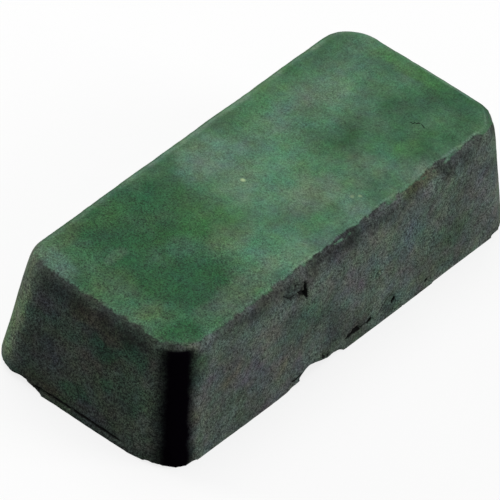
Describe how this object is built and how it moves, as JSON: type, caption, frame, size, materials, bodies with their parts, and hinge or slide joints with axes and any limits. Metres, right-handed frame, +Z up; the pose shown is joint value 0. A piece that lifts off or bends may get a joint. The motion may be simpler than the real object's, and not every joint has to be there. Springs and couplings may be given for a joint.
{
  "type": "buffing compound bar",
  "caption": "Cast bar of green polishing compound, a drafted block with round corners and a chipped lower edge, rubbed onto buffing wheels.",
  "frame": {"origin": "middle of the pour face, which is the face that the bar lies on", "axes": "+X along the bar, towards the end away from the camera; +Y across the bar, towards the wall that the picture hides; +Z up, from the wide pour face to the narrow face cast against the mould's floor"},
  "size_m": [0.13, 0.058, 0.033],
  "materials": {
    "green_compound": "waxy, dusty, mottled"
  },
  "bodies": {
    "root": {"compound_bar": "green_compound"}
  },
  "joints": []
}
